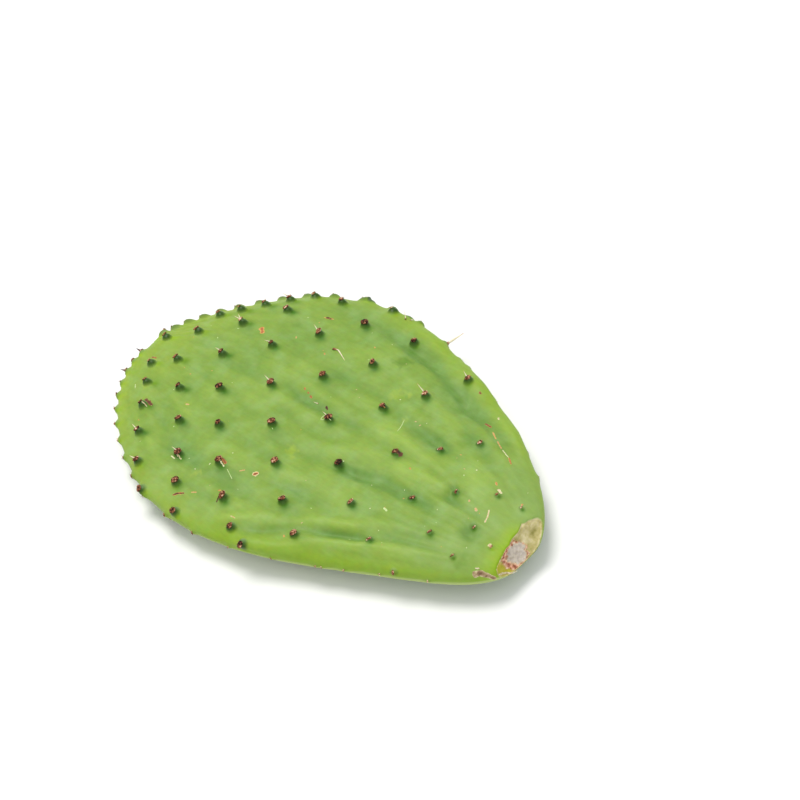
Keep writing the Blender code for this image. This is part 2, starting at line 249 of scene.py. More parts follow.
# A needle's radius along it: change, middle and width of the change, as shares
NEEDLE_CHANGES = ((0.7, 0.0, 0.06), (-0.25, 0.15, 0.08))
SPINE_RADIUS_MM = 0.34
LONG_SPINE, LONG_SPINE_EXTRA, RIM_SPINE_EXTRA = 0.006, 0.25, 0.9
SPINE_FOOT_SHARE = 0.25  # of the way from its seat to its solid's foot
FALLEN_RADIUS_MM, FALLEN_HOOK_MM, FALLEN_LIFTS_MM = 0.42, -1.6, (0.45, 0.35)
HOOK_SHARE = 0.22
THORN_END = 0.98  # of a solid's half-length, beyond which its points count as its end
SPINE_BENDS, STUB_BEND, FALLEN_BEND = (-0.05, 0.05), 0.08, -0.05
LEAF_RADIUS_MM, LEAF_FLATNESS, LEAF_REACH = 0.85, 0.6, 0.9
LEAF_BENDS = (0.5, -0.5, 0.6)
# Spine stubs with no node of their own: foot and tip, and radius
STUBS_MM = (
    ((72.1, 22.8, 15.2), (74.3, 25.0, 17.2), 0.30),
    ((73.6, 21.0, 14.4), (74.2, 19.0, 15.0), 0.22),
    ((4.2, 12.6, 22.0), (3.0, 14.4, 23.0), 0.26),
)

# --- Marks on the upper face: x and y of each point, half-width, and tone in the middle and at the
# edge, from 0 dark brown over 0.2 red-brown, 0.35 orange, 0.6 tan and 0.8 cream to 1 pale green ---
MARKS_MM = (
    ((50.2, 54.4, 51.0, 52.3, 51.7, 49.7), 0.34, 0.4, 0.62),
    ((50.8, 53.2, 51.3, 50.9), 0.72, -0.15, 0.44), ((27.9, 73.4, 26.2, 72.2), 1.3, 0.3, 0.52),
    ((32.7, 55.6, 32.3, 55.1), 0.4, 0.44, 0.6), ((31.6, 35.8, 31.2, 35.3), 0.4, 0.36, 0.48),
    ((48.4, 20.0, 48.1, 19.6), 0.4, 0.44, 0.48), ((9.8, 27.3, 9.4, 26.7), 0.5, 0.26, 0.4),
    ((8.7, 24.2, 8.7, 23.6), 0.4, 0.28, 0.4), ((7.9, 21.8, 7.6, 21.0), 0.5, 0.26, 0.4),
    ((-36.4, 85.2, -36.8, 82.8, -37.3, 80.6), 1.0, 0.12, 0.24),
    ((-13.8, 106.0, -13.9, 103.0), 0.6, 0.2, 0.42), ((-31.1, 99.0, -33.0, 97.0), 0.22, 0.92, 0.98),
    ((-39.8, 83.4, -39.6, 80.9), 0.26, 0.66, 0.8), ((-28.3, 66.1, -27.8, 65.2), 0.5, 0.48, 0.72),
    ((-41.3, 8.4, -40.6, 7.6), 1.1, 0.14, 0.9), ((-43.8, 15.0, -42.2, 13.6), 0.32, 0.4, 0.7),
    ((-44.3, 24.9, -44.6, 23.2), 0.85, 0.22, 0.4), ((-45.9, 24.4, -46.1, 22.6), 0.34, 0.74, 0.84),
    ((-46.2, 20.6, -48.6, 15.2), 0.16, 0.98, 1.0), ((-52.8, 47.4, -53.3, 43.2), 0.36, 0.6, 0.84),
    ((-54.6, 48.4, -54.9, 45.8), 0.3, 0.74, 0.94),
    ((-69.6, 31.4, -68.1, 29.8, -66.9, 27.4), 0.62, 0.02, 0.56),
    ((-64.3, 24.8, -63.0, 23.4), 0.34, 0.44, 0.62),
    ((-57.9, 12.7, -60.2, 12.2, -61.9, 11.3), 0.42, 0.04, 0.14),
    ((-56.7, 15.3, -56.3, 14.8), 0.45, 0.36, 0.46), ((-64.5, -0.1, -64.3, -2.8), 0.26, 0.5, 0.8),
    ((4.6, 7.4, 1.6, 7.6, -1.0, 6.5), 0.22, 0.92, 1.0),
    ((-1.0, 6.5, -0.2, 3.4, 0.2, 0.6), 0.18, 0.92, 1.0), ((4.0, -34.4, 3.4, -38.0), 1.25, 0.04, 0.2),
    ((7.2, 11.2, 6.4, 9.8), 0.55, 0.04, 0.16),
    ((21.3, -23.6, 17.0, -25.8, 12.6, -27.5), 0.16, 0.98, 1.0),
    ((41.8, -53.2, 41.3, -56.4), 0.62, 0.16, 0.4), ((39.1, -59.6, 36.6, -63.6), 0.4, 0.4, 0.62),
    ((35.8, -65.2, 33.4, -69.6), 0.34, 0.38, 0.68), ((33.0, -70.6, 31.2, -75.4), 0.24, 0.76, 0.84),
    ((31.1, -75.8, 29.0, -78.8), 0.38, 0.3, 0.48), ((54.7, -38.5, 54.4, -39.1), 0.55, 0.1, 0.42),
    ((47.4, -55.6, 47.1, -56.2), 0.4, 0.66, 0.9), ((13.6, -85.2, 12.8, -87.2), 0.65, 0.66, 0.84),
    ((16.0, -81.7, 15.4, -82.6), 0.55, 0.34, 0.6), ((13.8, -97.9, 13.4, -98.4), 0.55, 0.36, 0.6),
    ((-0.6, -47.3, -0.8, -47.7), 0.45, 0.34, 0.48), ((-11.3, -101.6, -11.7, -102.2), 0.75, 0.56, 0.76),
    ((2.2, -89.8, -0.6, -91.4, -3.4, -92.1), 0.38, 0.6, 0.82),
    ((1.4, -79.3, 1.0, -79.8), 0.4, 0.52, 0.62), ((-0.4, -84.5, -1.0, -85.3), 0.55, 0.54, 0.66),
    ((-58.1, -26.2, -58.5, -26.7), 0.45, 0.36, 0.48), ((-23.1, -52.6, -23.5, -54.4), 0.5, 0.94, 1.0),
)
FLECKS = 70
FLECK_MM = (0.12, 0.28)
FLECK_LENGTHS = (0.3, 2.5)  # in half-widths
FLECK_TONES = (0.44, 0.60, 0.84, 0.96, 1.0)
FLECK_SHARES, FLECK_SIDES = (0.08, 0.96), (-0.85, 0.85)
MARK_LIFT_MM, FLECK_LIFT_MM, PEEL_LIFT_MM = 0.14, 0.08, 0.3
MARK_Z_MM = 20.0
STRIP_FLATNESS = 4  # how late a strip's height falls towards its edge
STRIP_SINK_MM, STRIP_CRUMBLE_MM, STRIP_CRUMB_MM = 0.04, 0.10, 0.7

# --- Torn skin beside the cut ---
TEAR_MM = (
    (-24.6, -105.2, 16.2), (-23.2, -106.4, 16.5), (-21.8, -108.4, 15.2), (-20.0, -110.4, 13.2),
)
TEAR_HALF_MM, TEAR_LIFT_MM = 1.9, 0.12
TEAR_SHAPE = {"taper": 0.6, "ragged": 0.35, "outline": 1.0}
TEAR_OUTWARD = Vector((-0.45, -0.55, 0.70)).normalized()
PEEL_TONES = (0.9, 1.0)
# Strips of dry skin that peel off: points, and half-width
PEELS_MM = (
    (((-22.6, -105.4, 17.9), (-23.3, -104.0, 17.8)), 0.30),
    (((-17.4, -111.6, 13.6), (-14.6, -112.5, 12.3), (-11.5, -113.6, 10.2), (-9.0, -114.2, 9.0)), 0.45),
)

# --- View and light ---
CAMERA_AZIMUTH, CAMERA_ELEVATION, CAMERA_ROLL = (math.radians(angle) for angle in (-40.4, 45.0, 10.0))
CAMERA_LENS_MM, CAMERA_SENSOR_MM = 99.0, 36.0
CAMERA_DISTANCE, CAMERA_CLIP = 0.9863, (0.05, 20.0)
CAMERA_AIM = Vector((0.0323, -0.0126, 0.0125))
LIGHT_DISTANCE = 3.0
# Direction, size, watts and colour
LIGHTS = {
    "key": ((0.06, 0.32, 1.0), 1.6, 62.0, (1.0, 0.98, 0.94)),
    "fill": ((-0.80, -0.60, 0.55), 2.2, 12.0, (1.0, 1.0, 1.0)),
}
ROOM_COLOUR, ROOM_STRENGTH = (0.97, 0.99, 1.0, 1.0), 0.74
FLOOR_SIZE = 12.0


# --- Maths of the body ---
def between(stations, share):
    """A smooth curve through evenly spaced stations, read at shares of the way from 0 to 1."""
    places = np.linspace(0.0, 1.0, len(stations))
    return np.polyval(np.polyfit(places, stations, len(stations) - 1), share)


def signed_power(value, power):
    return np.sign(value) * np.abs(value) ** power


def half_widths(share, right):
    fullness = np.where(right, between(FULLNESS_RIGHT, share), between(FULLNESS_LEFT, share))
    return LENGTH * fullness * np.sqrt(np.maximum(share * (1.0 - share), 0.0))


def body_points(share, around):
    """Points of the uncut skin. share runs from base to tip, around is 0 at +X and pi / 2 on top."""
    across, up = np.cos(around), np.sin(around)
    thickness = between(HALF_THICKNESS, share)
    end = np.abs(2.0 * share - 1.0) ** END_POWER
    bulge = thickness * np.maximum(1.0 - end, 0.0) ** (1.0 / RIM_POWER)
    x = AXIS_X + signed_power(across, 2.0 / RIM_POWER) * half_widths(share, across > 0)
    z = REST_HEIGHT + thickness + signed_power(up, 2.0 / RIM_POWER) * bulge
    return np.stack([x, BASE_END_Y + LENGTH * share, z], axis=-1)


def unit(vectors):
    return vectors / np.maximum(np.linalg.norm(vectors, axis=-1, keepdims=True), 1e-12)


def body_normals(share, around):
    low = np.clip(share - SKIN_STEP, 0.0, 1.0)
    high = np.clip(share + SKIN_STEP, 0.0, 1.0)
    along = body_points(high, around) - body_points(low, around)
    turn = body_points(share, around + SKIN_STEP) - body_points(share, around - SKIN_STEP)
    normals = unit(-np.cross(turn, along))
    normals[share > 1.0 - POLE_SHARE] = (0.0, 1.0, 0.0)
    normals[share < POLE_SHARE] = (0.0, -1.0, 0.0)
    return normals


def soft_step(value, low, high):
    share = np.clip((value - low) / (high - low), 0.0, 1.0)
    return share * share * (3.0 - 2.0 * share)


def mixture(low, high, share):
    return low + (high - low) * share


def arc_shares(points):
    """How far along a line of points each one lies, as a share of the whole length."""
    steps = np.linalg.norm(np.diff(points, axis=0), axis=1)
    return np.concatenate(([0.0], np.cumsum(steps))) / steps.sum()


# --- Areoles: their places and frames on the bare body ---
def skin_place(x, y, side):
    share = min(max((y - BASE_END_Y) / LENGTH, SKIN_STEP), 1.0 - SKIN_STEP)
    edge = float(half_widths(share, x > AXIS_X))
    around = math.acos(min(abs(x - AXIS_X) / edge, 1.0) ** (RIM_POWER / 2.0))
    return share, (around if x > AXIS_X else math.pi - around) * side


def row_places(start, bend, end, count, growth):
    for number in range(count):
        if growth == 1.0:
            share = number / (count - 1)
        else:
            share = (1.0 - growth**number) / (1.0 - growth ** (count - 1))
        before_bend = Vector(start).lerp(Vector(bend), share)
        after_bend = Vector(bend).lerp(Vector(end), share)
        yield before_bend.lerp(after_bend, share) * MM


def rim_places(edge):
    share, gap, travelled = 1.0 - 2.0 * RIM_WALK_STEP, RIM_FIRST_GAP, RIM_FIRST_GAP / 2.0
    previous = body_points(share, edge)
    while previous[1] > RIM_END_Y:
        share -= RIM_WALK_STEP
        point = body_points(share, edge)
        travelled += float(np.linalg.norm(point - previous))
        previous = point
        if travelled > gap:
            yield share, edge
            travelled = 0.0
            gap *= RIM_GAP_GROWTH


def tubercle_size(share, around):
    on_rim = around in (RIGHT_EDGE, LEFT_EDGE)
    y = BASE_END_Y + LENGTH * share - RIM_SHRINK_LEAD * on_rim
    faded = min(max((SHRINK_FROM_Y - y) / (SHRINK_FROM_Y - SHRINK_TO_Y), 0.0), 1.0)
    return 1.0 - faded * (1.0 - SMALLEST_TUBERCLE)


def areole_frame(share, around, shape=FACE_TUBERCLE_MM):
    """Point, axes (sideways, tipward, outward), size and tubercle shape of the areole at a place."""
    point = body_points(np.array([share]), np.array([around]))[0]
    outward = Vector(body_normals(np.array([share]), np.array([around]))[0])
    tipward = Vector((0.0, 1.0, 0.0)) - outward * outward.y
    if tipward.length < STEEPEST:
        tipward = Vector((1.0, 0.0, 0.0)) - outward * outward.x
    tipward.normalize()
    axes = Matrix((tipward.cross(outward), tipward, outward))
    size = tubercle_size(share, around)
    if shape is FACE_TUBERCLE_MM:
        turned = float(soft_step(outward.x, *RIGHT_TURN))
        shape = tuple(mixture(a, b, turned) for a, b in zip(FACE_TUBERCLE_MM, RIGHT_TUBERCLE_MM))
    elif around == RIGHT_EDGE:
        size *= RIM_SIZE_RIGHT
    elif around == LEFT_EDGE:
        size *= mixture(*RIM_SIZE_LEFT, float(soft_step(point[1], *RIM_CHANGE_Y)))
    return Vector(point), axes, size, shape


def all_areoles():
    """{region: [(point, axes, size, tubercle shape), ...]}"""
    found = {"upper": [], "under": [], "rim": []}
    for region, side in (("upper", 1), ("under", -1)):
        for row in ROWS_MM:
            for place in row_places(*row):
                found[region].append(areole_frame(*skin_place(place.x * side, place.y, side)))
    for edge in (RIGHT_EDGE, LEFT_EDGE):
        for place in rim_places(edge):
            found["rim"].append(areole_frame(*place, RIM_TUBERCLE_MM))
    return found


# --- The skin ---
class Spread:
    """Takes directions on a unit sphere to places on the body, evenly by arc length, with the sphere's
    last rings kept for the cut face."""

    def __init__(self):
        self.angles = np.linspace(0.0, math.pi, TABLE_STEPS)
        shares = (1.0 + np.cos(self.angles)) / 2.0
        self.turn_table = arc_shares(body_points(np.full(TABLE_STEPS, TABLE_SHARE), self.angles))
        lines = [
            body_points(shares, np.full(TABLE_STEPS, around))
            for around in (RIGHT_EDGE, math.pi / 2, LEFT_EDGE)
        ]
        self.length_table = sum(arc_shares(line) for line in lines) / len(lines)
        self.cut_arounds = np.linspace(-math.pi, math.pi, TABLE_STEPS)
        edge = self.cut_edge(self.cut_arounds)
        teeth = [(math.cos(a) * CUT_TEETH, math.sin(a) * CUT_TEETH, 0.0) for a in self.cut_arounds]
        ragged = np.array([noise.noise(tooth) for tooth in teeth])
        edge += CUT_RAGGED_SHARE * ragged * (edge > CUT_RAGGED_FROM)
        self.cut_lengths = np.interp(np.arccos(2.0 * edge - 1.0), self.angles, self.length_table)

    def cut_edge(self, around):
        """Share of the length at which the cut ends the skin."""
        degrees, cut_shares = zip(*CUT_OUTLINE)
        return np.interp(np.degrees(around), degrees, cut_shares)

    def __call__(self, directions):
        """(share, around, how far in from the cut's edge: 1 at the edge and on the skin, 0 in the
        middle of the cut) for each direction."""
        polar = np.arccos(np.clip(directions[:, 2], -1.0, 1.0)) / math.pi
        turn = (np.arctan2(directions[:, 1], directions[:, 0]) / (2.0 * math.pi)) % 1.0
        top = turn <= TOP_SHARE
        folded = np.where(top, turn / TOP_SHARE, (1.0 - turn) / (1.0 - TOP_SHARE))
        around = np.interp(folded, self.turn_table, self.angles) * np.where(top, 1.0, -1.0)
        on_skin = np.minimum(polar / (1.0 - SCAR_SHARE), 1.0)
        length = on_skin * np.interp(around, self.cut_arounds, self.cut_lengths)
        angle = np.interp(length, self.length_table, self.angles)
        inward = np.clip((1.0 - polar) / SCAR_SHARE, 0.0, 1.0)
        return (1.0 + np.cos(angle)) / 2.0, around, inward


def fold_relief(points, normals):
    """Height in metres of the upper face's folds and dents."""
    y = points[:, 1]
    widths = np.maximum(half_widths((y - BASE_END_Y) / LENGTH, points[:, 0] > AXIS_X), NARROWEST)
    across = (points[:, 0] - AXIS_X) / widths
    upper = soft_step(normals[:, 2], *UPPER_FACE)
    height = np.zeros(len(points))
    for number, (start, end, start_y, end_y, half_width, rise) in enumerate(FOLDS_MM):
        along = (start_y * MM - y) / ((start_y - end_y) * MM)
        line = mixture(start, end, np.clip(along, 0.0, 1.0))
        for wave, length, turn in FOLD_WAVES:
            line = line + wave * np.sin(y / (length * MM) + turn * number)
        sideways = (across - line) * widths / (half_width * MM)
        fade = soft_step(along, *FOLD_STARTS) * (1.0 - soft_step(along, *FOLD_ENDS))
        fade *= 1.0 + FOLD_SWELL * np.sin(y / (FOLD_SWELL_MM * MM) + FOLD_SWELL_TURN * number)
        height += rise * MM * np.exp(-(sideways**2)) * fade * upper
    for x, dent_y, radius, depth in DENTS_MM:
        distance = np.hypot(points[:, 0] - x * MM, y - dent_y * MM) / (radius * MM)
        height -= depth * MM * np.exp(-(distance**2)) * upper
    return height


def noise_relief(points, across_shares):
    """Long streaks that follow the pad's growth, and soft lumps."""
    height = np.empty(len(points))
    for number, (point, across) in enumerate(zip(points, across_shares)):
        side = UNDER_NOISE if point[2] < MID_HEIGHT else 0.0
        streak = noise.noise((across * STREAKS_ACROSS, point[1] / (STREAK_LENGTH_MM * MM), side))
        lump = noise.noise(Vector(point) / (LUMP_SIZE_MM * MM))
        height[number] = STREAK_HEIGHT_MM * streak + LUMP_HEIGHT_MM * lump
    base, tip = (soft_step(points[:, 1], *stretch) for stretch in STREAKS_Y)
    rim = soft_step(np.abs(across_shares), *STREAKS_RIM)
    return height * MM * base * (1.0 - STREAKS_FADE * tip) * (1.0 - STREAKS_FADE * rim)


def tubercle_relief(points, normals, areoles):
    """How the tubercles move each point, in metres, and their colouring: where the knobs are, how light
    each side of a knob is painted, with painted shade on one side and a painted sheen on the other, and
    where the painted shadow beside it is, deep green, which turns to a painted yellow-green glow towards
    the tip."""
    shift = np.zeros((len(points), 3))
    knobs, tones, fresh = (np.zeros(len(points)) for _ in range(3))
    for centre, axes, size, shape in areoles:
        knob_radius, knob_height, swell_height, wide, tip_reach, base_reach = shape
        offset = points - np.array(centre)
        near = np.einsum("ij,ij->i", offset, offset) < (3.0 * base_reach * MM) ** 2
        local = offset[near] @ np.array(axes).T / (MM * size)
        side, tip, out = local[:, 0], local[:, 1], local[:, 2]
        facing = soft_step(normals[near] @ np.array(axes[2]), 0.0, 0.5)
        reach = np.where(tip > 0.0, tip_reach, base_reach)
        swell = np.exp(-((side / wide) ** 2 + (tip / reach) ** 2 + (out / wide) ** 2)) * facing
        stretch = np.where(tip > 0.0, KNOB_STRETCH[1], KNOB_STRETCH[0])
        radius = np.sqrt(side**2 + (tip / stretch) ** 2 + out**2) / knob_radius * math.sqrt(size)
        dome = KNOB_DOME * np.sqrt(np.clip(1.0 - radius**2, 0.0, 1.0))
        skirt = (1.0 - KNOB_DOME) * np.exp(-((radius / KNOB_SKIRT) ** 3))
        knob = (dome + skirt) * facing * knob_height * size**KNOB_POWER
        shift[near] += ((swell_height * swell + knob) * size * MM)[:, None] * np.array(axes[2])
        shift[near] += (knob * KNOB_LEAN * size * MM)[:, None] * np.array(axes[1])
        coloured = (1.0 - soft_step(radius, *KNOB_EDGE)) * facing * float(soft_step(size, *KNOB_SIZES))
        coloured *= RIM_KNOB_SHARE if shape is RIM_TUBERCLE_MM else 1.0
        # Painted light on the knob: from 0, painted shade on one side, to 1, a painted sheen on the other
        # side and towards the tip.
        tone = 0.5 + 0.5 * (side + KNOB_LIGHT_TIPWARD * tip) / knob_radius
        tones[near] = np.where(coloured > knobs[near], tone, tones[near])
        knobs[near] = np.maximum(knobs[near], coloured)
        # Painted shadow beside the knob, which near the tip turns into a painted glow of light through the
        # flesh.
        at_tip = float(soft_step(centre.y, *PAINTED_GLOW_TIP_Y))
        beside = Vector(PAINTED_SHADOW_BESIDE_MM[0]).lerp(Vector(PAINTED_SHADOW_BESIDE_MM[1]), at_tip)
        distance = np.hypot(side - beside.x, tip - beside.y) / PAINTED_SHADOW_RADIUS_MM
        fresh[near] = np.maximum(fresh[near], np.exp(-(distance**2)) * facing)
    return shift, {"knob": knobs, "knob_tone": tones, "fresh": fresh}


def select_faces(mesh, wanted):
    """Selects these faces and nothing else, in object mode."""
    mesh.vertices.foreach_set("select", np.zeros(len(mesh.vertices), bool))
    mesh.edges.foreach_set("select", np.zeros(len(mesh.edges), bool))
    mesh.polygons.foreach_set("select", wanted)


def read_places(items, what):
    """The places that each of a mesh's vertices or faces has, as rows."""
    found = np.empty(len(items) * 3)
    items.foreach_get(what, found)
    return found.reshape(-1, 3)


def coordinates(mesh):
    return read_places(mesh.vertices, "co")


def add_skin_sphere(spread, areoles):
    """A sphere whose faces are halved where areoles will rise."""
    bpy.ops.mesh.primitive_uv_sphere_add(segments=SKIN_SEGMENTS, ring_count=SKIN_RINGS, radius=1.0)
    skin = bpy.context.object
    skin.name = "pad_skin"
    share, around, inward = spread(unit(read_places(skin.data.polygons, "center")))
    places = body_points(share, around)
    near = np.zeros(len(places), bool)
    for centre, _, size, _ in areoles:
        near |= np.linalg.norm(places - np.array(centre), axis=1) < FINE_REACH * size
    select_faces(skin.data, near & (inward >= 1.0))
    bpy.ops.object.mode_set(mode="EDIT")
    bpy.ops.mesh.select_mode(type="FACE")
    bpy.ops.mesh.subdivide(number_cuts=1, quadcorner="INNERVERT")
    bpy.ops.object.mode_set(mode="OBJECT")
    return skin


def set_attribute(mesh, name, values):
    layer = mesh.attributes.new(name, "FLOAT", "POINT")
    layer.data.foreach_set("value", np.asarray(values, np.float32))


def patch_shares(points, patches):
    """How far each point lies in one of the ragged patches, from 0 to 1."""
    found = np.zeros(len(points))
    for x, y, radius in patches:
        distance = np.hypot(points[:, 0] - x * MM, points[:, 1] - y * MM) / (radius * MM)
        for place in np.flatnonzero((distance < 2.0) & (points[:, 2] > MID_HEIGHT)):
            ragged = noise.noise(points[place] / (PATCH_GRAIN * radius * MM))
            reach = (distance[place] + PATCH_RAGGED * ragged - PATCH_CORE) / (1.0 - PATCH_CORE)
            found[place] = max(found[place], 1.0 - min(max(reach, 0.0), 1.0))
    return found


def raised_skin(share, around, areoles):
    """Points of the finished skin at places on the body, and what colours them."""
    points = body_points(share, around)
    normals = body_normals(share, around)
    y = points[:, 1]
    across = (points[:, 0] - AXIS_X) / np.maximum(half_widths(share, points[:, 0] > AXIS_X), NARROWEST)
    folds = fold_relief(points, normals) + noise_relief(points, across)
    shift, colouring = tubercle_relief(points, normals, areoles)
    placed = points + normals * folds[:, None] + shift
    placed[:, 2] = np.maximum(placed[:, 2], 0.0)
    yellow = YELLOW_TIP * soft_step(y, *YELLOW_TIP_Y)
    yellow += YELLOW_RIM * soft_step(np.abs(across), *YELLOW_RIM_FROM)
    yellow = np.maximum(yellow, YELLOW_PATCH * patch_shares(points, YELLOW_PATCHES_MM))
    # Painted shadow and glow beside the tubercles, with deeper green patches, and painted shade on the
    # rolled flanks below.
    fresh = np.maximum(colouring["fresh"], DEEP_GREEN_PATCH * patch_shares(points, DEEP_GREEN_PATCHES_MM))
    # Painted shade on the rolled flanks, which turn away from the light.
    flank_shade = np.where(across < 0.0, *FLANK_SHADE) * soft_step(np.abs(across), *FLANK_SHADE_REACH)
    fresh = np.maximum(fresh, flank_shade * (1.0 - soft_step(y, *FLANK_SHADE_END_Y)))
    bloom = BLOOM * (1.0 - soft_step(y, *BLOOM_Y)) * (1.0 - fresh)
    # Painted light: a pale line bounced from the floor along the underside of the left rim.
    under = around < 0.0
    off_line = np.abs(np.abs(around) - LEFT_EDGE + BOUNCE_LINE_TURN * under) / BOUNCE_LINE_TURN
    rim_line = (1.0 - soft_step(off_line, *BOUNCE_LINE_EDGE)) * under
    rim_line *= 1.0 - soft_step(y, *BOUNCE_LINE_END_Y)
    more = {"crest": folds / MM, "fresh": fresh, "yellow": yellow, "bloom": bloom, "rim_line": rim_line}
    return placed, colouring | more


def scar_parts(across, down):
    """(coarse noise, fine noise, dry pith, torn ring) at places on the cut face, in millimetres."""
    coarse, fine = (
        np.array([noise.noise((a * scale, b * scale, where)) for a, b in zip(across, down)])
        for scale, where in SCAR_GRAINS
    )
    dx, dy = across - PITH_MM[0], down - PITH_MM[1]
    major = (dx * math.cos(PITH_TURN) + dy * math.sin(PITH_TURN)) / PITH_HALF_MM[0]
    minor = (-dx * math.sin(PITH_TURN) + dy * math.cos(PITH_TURN)) / PITH_HALF_MM[1]
    radius = np.hypot(major, minor) + SCAR_WAVER * (coarse + fine)
    beyond_pith = soft_step(radius, *PITH_EDGE)
    wide = mixture(*RING_WIDTHS, soft_step(-major / np.maximum(radius, PITH_CORE), *RING_SIDES))
    return coarse, fine, 1.0 - beyond_pith, beyond_pith * (1.0 - soft_step(radius, wide, wide + RING_FADE))


def make_skin(areoles):
    spread = Spread()
    skin = add_skin_sphere(spread, areoles["upper"] + areoles["rim"])
    mesh = skin.data
    share, around, inward = spread(unit(coordinates(mesh)))
    placed, colouring = raised_skin(share, around, areoles["upper"] + areoles["under"] + areoles["rim"])

    beyond = (share - spread.cut_edge(around)) * LENGTH / MM
    glow = np.exp(-beyond / CUT_GLOW_MM) * soft_step(np.degrees(around), *CUT_GLOW_SIDE)
    for name in ("yellow", "fresh"):
        colouring[name] = np.maximum(colouring[name], glow)
    colouring["bloom"] *= 1.0 - glow

    on_cut = inward < 1.0
    depth = 1.0 - inward
    across, down, out = ((placed - CUT_ORIGIN) @ CUT_AXES.T / MM).T
    across = mixture(CUT_MIDDLE_MM[0], across, inward)
    down = mixture(CUT_MIDDLE_MM[1], down, inward)
    coarse, grain, pith, ring = scar_parts(across, down)
    rise = out * inward**CUT_FLATNESS
    rise -= LIP_MM * soft_step(depth, 0.0, LIP_REACH) + DISH_MM * soft_step(depth, LIP_REACH, DISH_REACH)
    texture = PITH_RISE_MM * pith + ring * (RING_RISE_MM + RING_GRAIN_MM * grain)
    rise += (texture + FLESH_GRAIN_MM * coarse) * soft_step(depth, 0.0, GRAIN_REACH)
    face = CUT_ORIGIN + MM * np.stack([across, down, rise], axis=-1) @ CUT_AXES
    placed[on_cut] = face[on_cut]
    placed[:, 2] = np.maximum(placed[:, 2], 0.0)
    mesh.vertices.foreach_set("co", placed.ravel())

    low_flesh = soft_step(LOW_FLESH_WAY[0] * across + LOW_FLESH_WAY[1] * down, *LOW_FLESH_MM)
    colouring |= {
        "cut_face": soft_step(depth, 0.0, FLESH_REACH),
        "pith": pith * on_cut,
        "torn_ring": ring * on_cut,
        "cut_edge": (1.0 - soft_step(depth, *PALE_EDGE)) * on_cut,
        "low_flesh": low_flesh * on_cut,
    }
    for name, values in colouring.items():
        set_attribute(mesh, name, values)
    bpy.ops.object.mode_set(mode="EDIT")
    bpy.ops.mesh.select_all(action="SELECT")
    bpy.ops.mesh.normals_make_consistent(inside=False)
    bpy.ops.object.mode_set(mode="OBJECT")
    mesh.shade_smooth()
    return skin



# --- Materials ---
FACTOR, COLOUR_A, COLOUR_B, MIXED = 0, 6, 7, 2  # a colour Mix node's inputs, and its output
# Noises that the finishes read: name, lump size in millimetres, detail and roughness
SKIN_GRAINS = (
    ("cloud", 22.0, 4.0, 0.6), ("dust", 9.0, 3.0, 0.5), ("flesh", 3.8, 5.0, 0.5), ("cork", 1.6, 3.0, 0.5),
    ("wood", 1.2, 3.0, 0.5), ("edge", 2.2, 2.0, 0.5), ("pores", 1.1, 2.0, 0.5),
)
FELT_GRAINS = (("clump", 0.9, 2.0, 0.5), ("patch", 9.0, 2.0, 0.5))
BRISTLE_GRAINS = (("tuft", 2.0, 2.0, 0.5),)
SPINE_GRAINS = (("stain", 0.8, 2.0, 0.5),)
LEAF_GRAINS = (("ridge", 0.7, 2.0, 0.5),)
CORK_GRAINS = (("crumb", 0.9, 2.0, 0.5),)
PAPER_GRAINS = (("stain", 1.8, 3.0, 0.5),)
SKIN_LAYERS = (
    "crest", "knob", "knob_tone", "fresh", "yellow", "bloom", "rim_line", "cut_face", "low_flesh",
    "torn_ring", "pith", "cut_edge",
)


def linear(hex_colour):
    """Linear RGBA of an sRGB hex value."""
    parts = [int(hex_colour[place : place + 2], 16) / 255.0 for place in (1, 3, 5)]
    return (*[p / 12.92 if p <= 0.04045 else ((p + 0.055) / 1.055) ** 2.4 for p in parts], 1.0)


def fill(tree, node, inputs):
    """Gives a node its inputs, which are links, values or hex colours, by name or in order."""
    for name, value in inputs.items() if isinstance(inputs, dict) else enumerate(inputs):
        if isinstance(value, bpy.types.NodeSocket):
            tree.links.new(value, node.inputs[name])
        else:
            node.inputs[name].default_value = linear(value) if isinstance(value, str) else value


def add_node(tree, kind, inputs=(), out=0, stops=(), **settings):
    """Adds a node with its settings, its inputs and its ramp's (position, hex colour) stops, and gives
    the output that is asked for."""
    made = tree.nodes.new("ShaderNode" + kind)
    for name, value in settings.items():
        setattr(made, name, value)
    fill(tree, made, inputs)
    for _ in stops[2:]:
        made.color_ramp.elements.new(1.0)
    for number, (position, colour) in enumerate(stops):
        made.color_ramp.elements[number].position = position
        made.color_ramp.elements[number].color = linear(colour)
    return made.outputs[out]


def material(finish, grains=(), layers=()):
    """A material named like its finish, the function that says its shader's inputs from what it reads:
    the place on the piece, noises as (name, lump size in mm, detail, roughness), and the mesh's layers."""
    made = bpy.data.materials.new(finish.__name__)
    made.use_nodes = True
    tree = made.node_tree
    add = functools.partial(add_node, tree)
    place = add("TexCoord", out="Object")
    read = {"place": place}
    for name, size_mm, detail, roughness in grains:
        inputs = {"Vector": place, "Scale": 1.0 / (size_mm * MM), "Detail": detail, "Roughness": roughness}
        read[name] = add("TexNoise", inputs, "Fac")
    for name in layers:
        read[name] = add("Attribute", out="Fac", attribute_name=name)
    fill(tree, tree.nodes["Principled BSDF"], finish(add, read))
    return made


